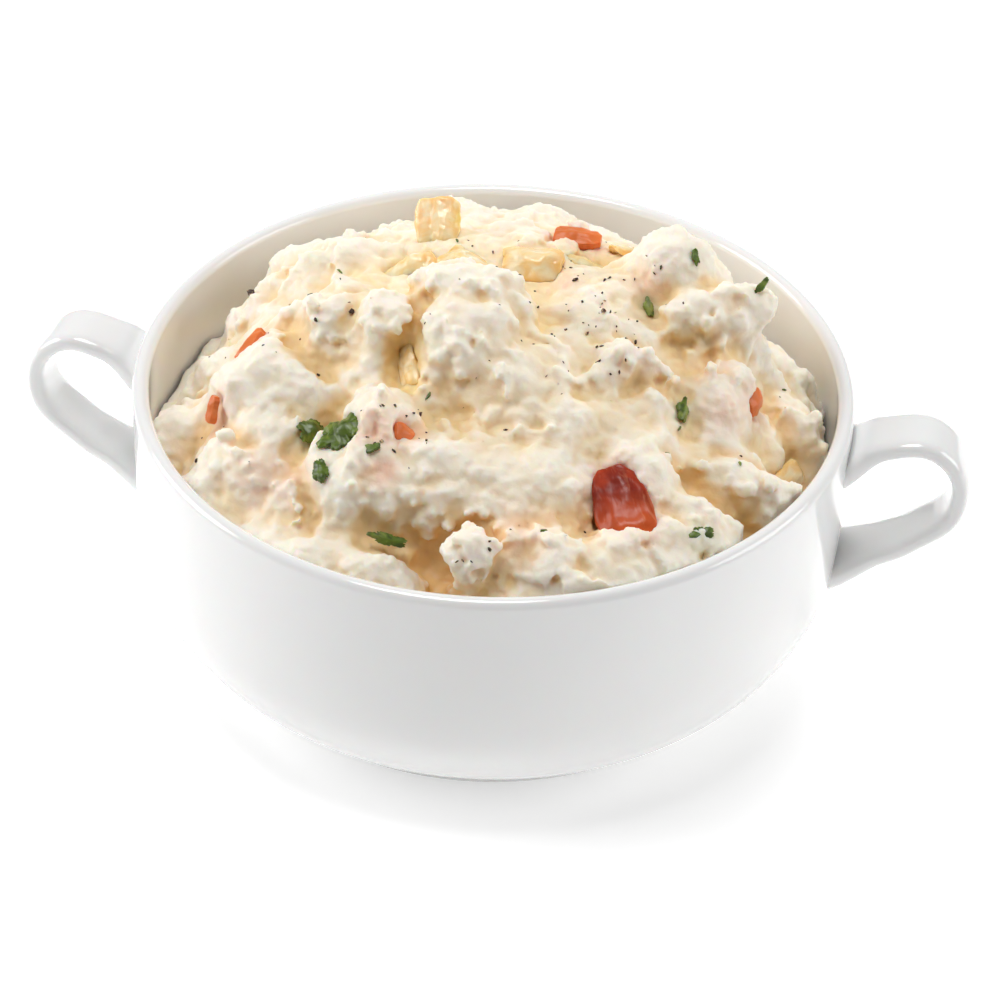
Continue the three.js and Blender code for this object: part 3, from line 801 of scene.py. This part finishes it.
# painted shade: a warm tan for creases and sheltered hollows, and a deeper brown for folds and the deepest
# hollows
WARM_SHADE = (0.87, 0.65, 0.35)
DEEP_SHADE = (0.74, 0.43, 0.14)
YELLOW = (0.90, 0.66, 0.26)
PINK = (0.92, 0.50, 0.36)
GREEN = (0.58, 0.62, 0.44)

mash = Finish("potato", roughness=0.5, subsurface_weight=0.7, subsurface_radius=(1.0, 0.6, 0.3),
              subsurface_scale=1.8 * MM, coat_weight=0.05, coat_roughness=0.35)
crests = mash.attribute("crest")
shelter = mash.attribute("shelter")
body = mash.mix(mash.spread(mash.noise(11 * MM, warp=0.6), 0.4, 0.65), CREAM, PALE)
# painted shade in the creases
body = mash.mix(mash.spread(crests, 0.0, -0.9), body, WARM_SHADE)
# painted shade along the fold lines
body = mash.mix(mash.spread(mash.attribute("fold"), 0.25, 0.9, 0, 0.55), body, DEEP_SHADE)
# painted shade in sheltered hollows, warm and then deep
body = mash.mix(mash.spread(shelter, 0.12, 0.32), body, WARM_SHADE)
body = mash.mix(mash.spread(shelter, 0.28, 0.6), body, DEEP_SHADE)
# painted highlight: the crests are tinted pale
body = mash.mix(mash.spread(crests, 0.1, 0.7), body, PALE)
veil = mash.noise(2.4 * MM, warp=1)
for name, tint, most in (("golden", YELLOW, 0.75), ("rosy", PINK, 0.8), ("herby", GREEN, 0.6)):
    share = mash.math("MULTIPLY", mash.attribute(name), mash.spread(veil, 0.3, 0.7, 0.35, most))
    body = mash.mix(share, body, tint)
fine = mash.bump(mash.noise(0.55 * MM, detail=2), 0.12 * MM, 0.5)
dress(heap, mash.wear(base_color=body, normal=fine), "potato", "mash")

# %% [markdown]
# ## Onion, bacon and parsley
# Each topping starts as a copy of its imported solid, which has the right place, size and tilt. A
# simple subdivision keeps its cut corners, a smooth one rounds its edges, and a Displace wrinkles it.

# %% Refining a topping
def own_axes(piece):
    points = points_of(piece)
    middle = points.mean(axis=0)
    axes = np.linalg.svd(points - middle, full_matrices=False)[2]
    local = (points - middle) @ axes.T
    return middle, axes, local, np.abs(local).max(axis=0)


def topping(node, name, simple, smooth):
    piece = copy_of(node, name)
    apply_modifier(piece, "SUBSURF", levels=simple, subdivision_type="SIMPLE")
    apply_modifier(piece, "SUBSURF", levels=smooth)
    _, _, local, half = own_axes(piece)
    share = local / half
    write_attribute(piece, "along", share[:, 0])
    write_attribute(piece, "across", share[:, 1])
    write_attribute(piece, "rim", np.maximum(np.abs(share[:, 0]), np.abs(share[:, 1])))
    pick(piece)
    bpy.ops.object.shade_smooth()
    return piece


# %% [markdown]
# Onion and bacon are cut with a knife, so they keep square corners. Points that lie between two sides
# are pushed out towards the corner of the square that surrounds the piece.

# %% Square corners
def squared(piece, share):
    middle, axes, local, half = own_axes(piece)
    turn = np.arctan2(local[:, 1] / half[1], local[:, 0] / half[0])
    local[:, :2] /= (np.maximum(np.abs(np.cos(turn)), np.abs(np.sin(turn))) ** share)[:, None]
    local[:, :2] = np.clip(local[:, :2], -half[:2], half[:2])
    piece.data.vertices.foreach_set("co", (local @ axes + middle).astype(np.float32).ravel())
    piece.data.update()


# %% [markdown]
# A parsley leaf is cut into lobes with toothed edges. Its points are drawn in towards its middle by
# a wave that runs round it, so that notches form between the lobes.

# %% Lobes of a leaf
NOTCH_CURVE = 1.5  # more than 1 gives rounder lobes with narrower notches
TEETH_PER_LOBE = 4
TOOTH_SHARE = 0.3


def lobed(piece, lobes, depth):
    middle, axes, local, half = own_axes(piece)
    turn = np.arctan2(local[:, 1] / half[1], local[:, 0] / half[0]) / (2 * math.pi)
    notch = np.abs((turn * lobes) % 1 * 2 - 1) ** NOTCH_CURVE * depth
    teeth = np.abs((turn * lobes * TEETH_PER_LOBE) % 1 * 2 - 1) * depth * TOOTH_SHARE
    reach = np.minimum(1, np.hypot(local[:, 0] / half[0], local[:, 1] / half[1]))
    local[:, :2] *= (1 - (notch + teeth) * reach)[:, None]
    piece.data.vertices.foreach_set("co", (local @ axes + middle).astype(np.float32).ravel())
    piece.data.update()


# %% [markdown]
# Fried onion is glassy and golden, deeper at its cut edges, with faint ribs along its layers. Real
# glass would be slow and would show the potato behind it, so strong scattering stands in for it. The
# ribs are a noise stretched along each piece by its own attributes.

# %% Onion finish
AMBER = (0.98, 0.50, 0.13)
HONEY = (0.99, 0.65, 0.30)
STRAW = (1.0, 0.80, 0.56)

onion = Finish("onion", roughness=0.24, subsurface_weight=1.0, subsurface_radius=(0.8, 0.7, 0.5),
               subsurface_scale=1.5 * MM, coat_weight=0.2, coat_roughness=0.1)
rim = onion.spread(onion.attribute("rim"), 0.62, 0.98)
flesh = onion.mix(onion.spread(onion.noise(2.5 * MM, warp=1), 0.35, 0.65), STRAW, HONEY)
flesh = onion.mix(onion.math("MULTIPLY", rim, 0.7), flesh, AMBER)
layers = onion.add("ShaderNodeCombineXYZ", x=onion.math("MULTIPLY", onion.attribute("across"), 7),
                   y=onion.attribute("along")).outputs[0]
grooves = onion.add("ShaderNodeTexNoise", vector=layers, scale=1, detail=1).outputs[0]
ribs = onion.bump(grooves, 0.2 * MM, 0.5)
onion_finish = onion.wear(base_color=flesh, normal=ribs)

# %% [markdown]
# Smoked bacon is dark red lean with paler fat in streaks along its grain. A thin bit lets light
# through and turns orange, which one attribute says for each piece.

# %% Bacon finish
DEEP_RED = (0.24, 0.022, 0.010)
RED = (0.44, 0.050, 0.014)
ORANGE = (0.66, 0.135, 0.030)
FAT = (0.80, 0.38, 0.22)
THIN = (0.93, 0.28, 0.08)

bacon = Finish("bacon", roughness=0.3, subsurface_weight=0.35, subsurface_radius=(1.0, 0.3, 0.15),
               subsurface_scale=1.2 * MM, specular_ior_level=0.25, coat_weight=0.06, coat_roughness=0.15)
grain_way = bacon.add("ShaderNodeCombineXYZ", x=bacon.math("MULTIPLY", bacon.attribute("across"), 2.6),
                      y=bacon.math("MULTIPLY", bacon.attribute("along"), 0.8),
                      z=bacon.noise(4 * MM)).outputs[0]
streaks = bacon.add("ShaderNodeTexNoise", vector=grain_way, scale=1.6, detail=3, distortion=0.4).outputs[0]
lean_meat = bacon.mix(bacon.spread(bacon.noise(4 * MM, warp=0.5), 0.38, 0.62), DEEP_RED, RED)
lean_meat = bacon.mix(bacon.spread(bacon.attribute("along"), -0.2, 0.9, 0, 0.8), lean_meat, ORANGE)
meat = bacon.mix(bacon.spread(streaks, 0.6, 0.76, 0, 0.3), lean_meat, FAT)
meat = bacon.mix(bacon.spread(bacon.attribute("across"), 0.88, 1.0, 0, 0.4), meat, FAT)
meat = bacon.mix(bacon.math("MULTIPLY", bacon.attribute("thin"), 0.6), meat, THIN)
fibres = bacon.bump(streaks, 0.25 * MM, 0.4)
bacon_finish = bacon.wear(base_color=meat, normal=fibres)

# %% [markdown]
# A wet parsley leaf is deep olive green, and paler in random patches. Two sizes of noise mix three
# greens, and a bump stands for its veins.

# %% Parsley finish
DARK_LEAF = (0.045, 0.075, 0.006)
LEAF = (0.12, 0.19, 0.015)
LIGHT_LEAF = (0.36, 0.42, 0.08)

parsley = Finish("parsley", roughness=0.35, subsurface_weight=0.25, subsurface_radius=(0.8, 1.0, 0.2),
                 subsurface_scale=0.5 * MM, coat_weight=0.12, coat_roughness=0.15)
blade = parsley.mix(parsley.spread(parsley.noise(1.8 * MM, warp=0.8), 0.35, 0.65), DARK_LEAF, LEAF)
pale_patches = parsley.spread(parsley.noise(3.2 * MM, warp=0.4), 0.52, 0.68, 0, 0.7)
blade = parsley.mix(pale_patches, blade, LIGHT_LEAF)
veins = parsley.bump(parsley.noise(1 * MM, warp=1.2), 0.15 * MM, 0.7)
parsley_finish = parsley.wear(base_color=blade, normal=veins)

# %% [markdown]
# Each kind has its own recipe. Onion warps as it fries and wrinkles finely. Bacon keeps its corners
# best. Parsley is cut into lobes and crumples. The largest bacon is the only thick one.

# %% Laying the toppings
ONION_SQUARE, BACON_SQUARE = 0.35, 0.6
LEAF_LOBES, LEAF_NOTCH = 5, 0.32
WARP_SIZE, WARP_DEPTH = 4 * MM, 1.1 * MM
WRINKLE_SIZE, WRINKLE_DEPTH = 1.5 * MM, 0.35 * MM
FIBRE_SIZE, FIBRE_DEPTH = 2 * MM, 0.4 * MM
CRUMPLE_SIZE, CRUMPLE_DEPTH = 2.4 * MM, 0.5 * MM
THICK_BACON = "bacon_1"

for node in sorted(frame["nodes"]):
    kind = node.split("_")[0]
    if kind == "onion":
        piece = topping(node, "fried_" + node, 1, 2)
        squared(piece, ONION_SQUARE)
        displace(piece, "warp_" + node, "CLOUDS", WARP_DEPTH, noise_scale=WARP_SIZE, noise_depth=0)
        displace(piece, "wrinkle_" + node, "CLOUDS", WRINKLE_DEPTH, noise_scale=WRINKLE_SIZE, noise_depth=1)
        dress(piece, onion_finish, "onion", node)
    elif kind == "bacon":
        piece = topping(node, "smoked_" + node, 2, 1)
        squared(piece, BACON_SQUARE)
        write_attribute(piece, "thin", np.full(len(piece.data.vertices), node != THICK_BACON))
        displace(piece, "fibre_" + node, "CLOUDS", FIBRE_DEPTH, noise_scale=FIBRE_SIZE, noise_depth=0)
        dress(piece, bacon_finish, "bacon", node)
    elif kind == "parsley":
        piece = topping(node, "chopped_" + node, 2, 1)
        lobed(piece, LEAF_LOBES, LEAF_NOTCH)
        displace(piece, "crumple_" + node, "CLOUDS", CRUMPLE_DEPTH, noise_scale=CRUMPLE_SIZE, noise_depth=0)
        dress(piece, parsley_finish, "parsley", node)

# %% [markdown]
# The finest chopped parsley is thin flecks, pressed flat on the potato. They are too small to be cut
# as leaves, so they are the same small rocks as the crumbs, made much flatter.

# %% Parsley flecks
# place on the heap and length, in millimetres
FLECKS = [(-6.7, -23.6, 1.8), (32, -23.4, 1.6), (33, -16.3, 1.5), (16.1, -45.5, 1.9), (-9.4, 14.3, 1.6),
          (-27.9, 6.9, 1.6), (43.4, -20.5, 1.5), (-31, 22, 1.4), (48, 6, 1.4), (10, 40, 1.8),
          (-20, 38, 1.6)]
FLECK_FLAT = (0.25, 0.45)
FLECK_ROUGH = (0.6, 1.2)
FLECK_LIFT = 0.1 * MM
fleck_draw = random.Random(3)
skin_tree = surface_of(heap)
chips = []
for x, y, size in FLECKS:
    place, normal = ground_under(x, y, skin_tree)
    chips.append(rock(fleck_draw, size * MM, place + normal * FLECK_LIFT, normal, FLECK_FLAT, FLECK_ROUGH))
flecks = joined("parsley_flecks", chips)
dress(flecks, parsley_finish, "parsley")

# %% [markdown]
# ## Cracked pepper
# Pepper is cracked, not ground, so its bits are sharp, uneven and mostly under a millimetre. Painted
# specks would look flat, so small rocks are dropped on the potato in the places where the mill passed.

# %% Pepper
# middle and reach of each cluster in millimetres, and how many bits it has
PEPPER_CLUSTERS = [(16, -6, 10, 34), (-9.5, -33, 7, 20), (6, 10, 9, 10), (21, 5, 7, 14), (0, -15, 9, 8),
                   (5.8, -52, 5, 8), (-30, -8, 14, 12), (0, 0, 50, 40)]
# place and size of the largest bits, in millimetres
PEPPER_BITS = [(-44, 10, 2.4), (-43, -31, 1.6), (1, 5, 1.8), (-32, 3, 1.4), (-22, -10, 1.4), (18, -2, 1.4),
               (12, 6, 1.3)]
BIT_LIFT = 0.15
GRAIN_LIFT = 0.1
GRAIN_SMALLEST = 0.4 * MM
GRAIN_GROWTH = 0.75 * MM
GRAIN_FLAT = (0.3, 0.65)
GRAIN_ROUGH = (0.55, 1.25)
draw = random.Random(7)
grains = []
for x, y, size in PEPPER_BITS:
    place, normal = ground_under(x, y, skin_tree)
    grains.append(rock(draw, size * MM, place + normal * size * MM * BIT_LIFT, normal))
for x, y, spread, count in PEPPER_CLUSTERS:
    for _ in range(count):
        reach, turn = spread * math.sqrt(draw.random()), draw.uniform(0, 2 * math.pi)
        place, normal = ground_under(x + reach * math.cos(turn), y + reach * math.sin(turn), skin_tree)
        if place is None:
            continue
        size = GRAIN_SMALLEST + GRAIN_GROWTH * draw.random() ** 2
        grains.append(rock(draw, size, place + normal * size * GRAIN_LIFT, normal, GRAIN_FLAT, GRAIN_ROUGH))
pepper = joined("cracked_pepper", grains)
print(len(grains), "bits of pepper")

# %% [markdown]
# A cracked peppercorn is nearly black outside and tan inside. A fine noise with a narrow step gives
# most bits the husk's colour and a few the heart's.

# %% Pepper finish
HUSK = (0.045, 0.022, 0.014)
HEART = (0.50, 0.36, 0.20)
corn = Finish("pepper", roughness=0.55)
bits = corn.mix(corn.spread(corn.noise(0.8 * MM), 0.55, 0.62), HUSK, HEART)
dress(pepper, corn.wear(base_color=bits), "potato")

# %% [markdown]
# ## Table and light
# The dish stands on a white sweep, which glows a little so that it stays white while the shadow on it
# shows. So weak a glow need not be sampled as a lamp, which saves time.

# %% Table
TABLE_SIZE = 4  # metres
SWEEP_WHITE = (0.93, 0.93, 0.93, 1)
WHITE = (1, 1, 1, 1)

bpy.ops.mesh.primitive_plane_add(size=TABLE_SIZE)
table = bpy.context.object
table.name = "table"
bpy.ops.object.mode_set(mode="EDIT")
bpy.ops.mesh.subdivide(number_cuts=4)
bpy.ops.object.mode_set(mode="OBJECT")
sweep = Finish("sweep", roughness=0.9, specular_ior_level=0.1)
sweep.wear(base_color=SWEEP_WHITE, emission_color=WHITE, emission_strength=0.3)
table.data.materials.append(sweep.material)
sweep.material.cycles.emission_sampling = "NONE"
print("table:", len(table.data.polygons), "faces")

# %% [markdown]
# Four large round lamps stand at the back, left, right and overhead, so that shadows are pale and
# the glaze shows broad, quiet reflections. The one at the back would show as a white glare on top of
# both handles, so it lights the dish but is left out of its reflections.

# %% Lamps
# place in metres, size across in metres and power in watts
LAMPS = {
    "lamp_back": ((0.0, 1.0, 0.6), 0.8, 6.0),
    "lamp_left": ((-1.0, 0.0, 0.5), 0.7, 6.5),
    "lamp_right": ((1.0, 0.1, 0.5), 0.7, 4.4),
    "lamp_over": ((-0.1, 0.0, 1.1), 0.5, 5.3),
}
NOT_REFLECTED = "lamp_back"
for name, (place, size, power) in LAMPS.items():
    lamp = bpy.data.objects.new(name, bpy.data.lights.new(name, "AREA"))
    lamp.data.shape = "DISK"
    lamp.data.size = size
    lamp.data.energy = power
    lamp.location = place
    lamp.visible_glossy = name != NOT_REFLECTED
    lamp.rotation_mode = "QUATERNION"
    lamp.rotation_quaternion = (Vector(place) - AIM).to_track_quat("Z", "Y")
    bpy.context.scene.collection.objects.link(lamp)

print("lamps:", ", ".join(f"{name} {power} W" for name, (_, _, power) in LAMPS.items()))

# %% Light from all round
WORLD_LIGHT = 0.15
world = bpy.data.worlds.new("studio")
world.use_nodes = True
studio = world.node_tree.nodes["Background"]
studio.inputs["Color"].default_value = WHITE
studio.inputs["Strength"].default_value = WORLD_LIGHT
bpy.context.scene.world = world
bpy.context.scene.view_settings.view_transform = "Standard"
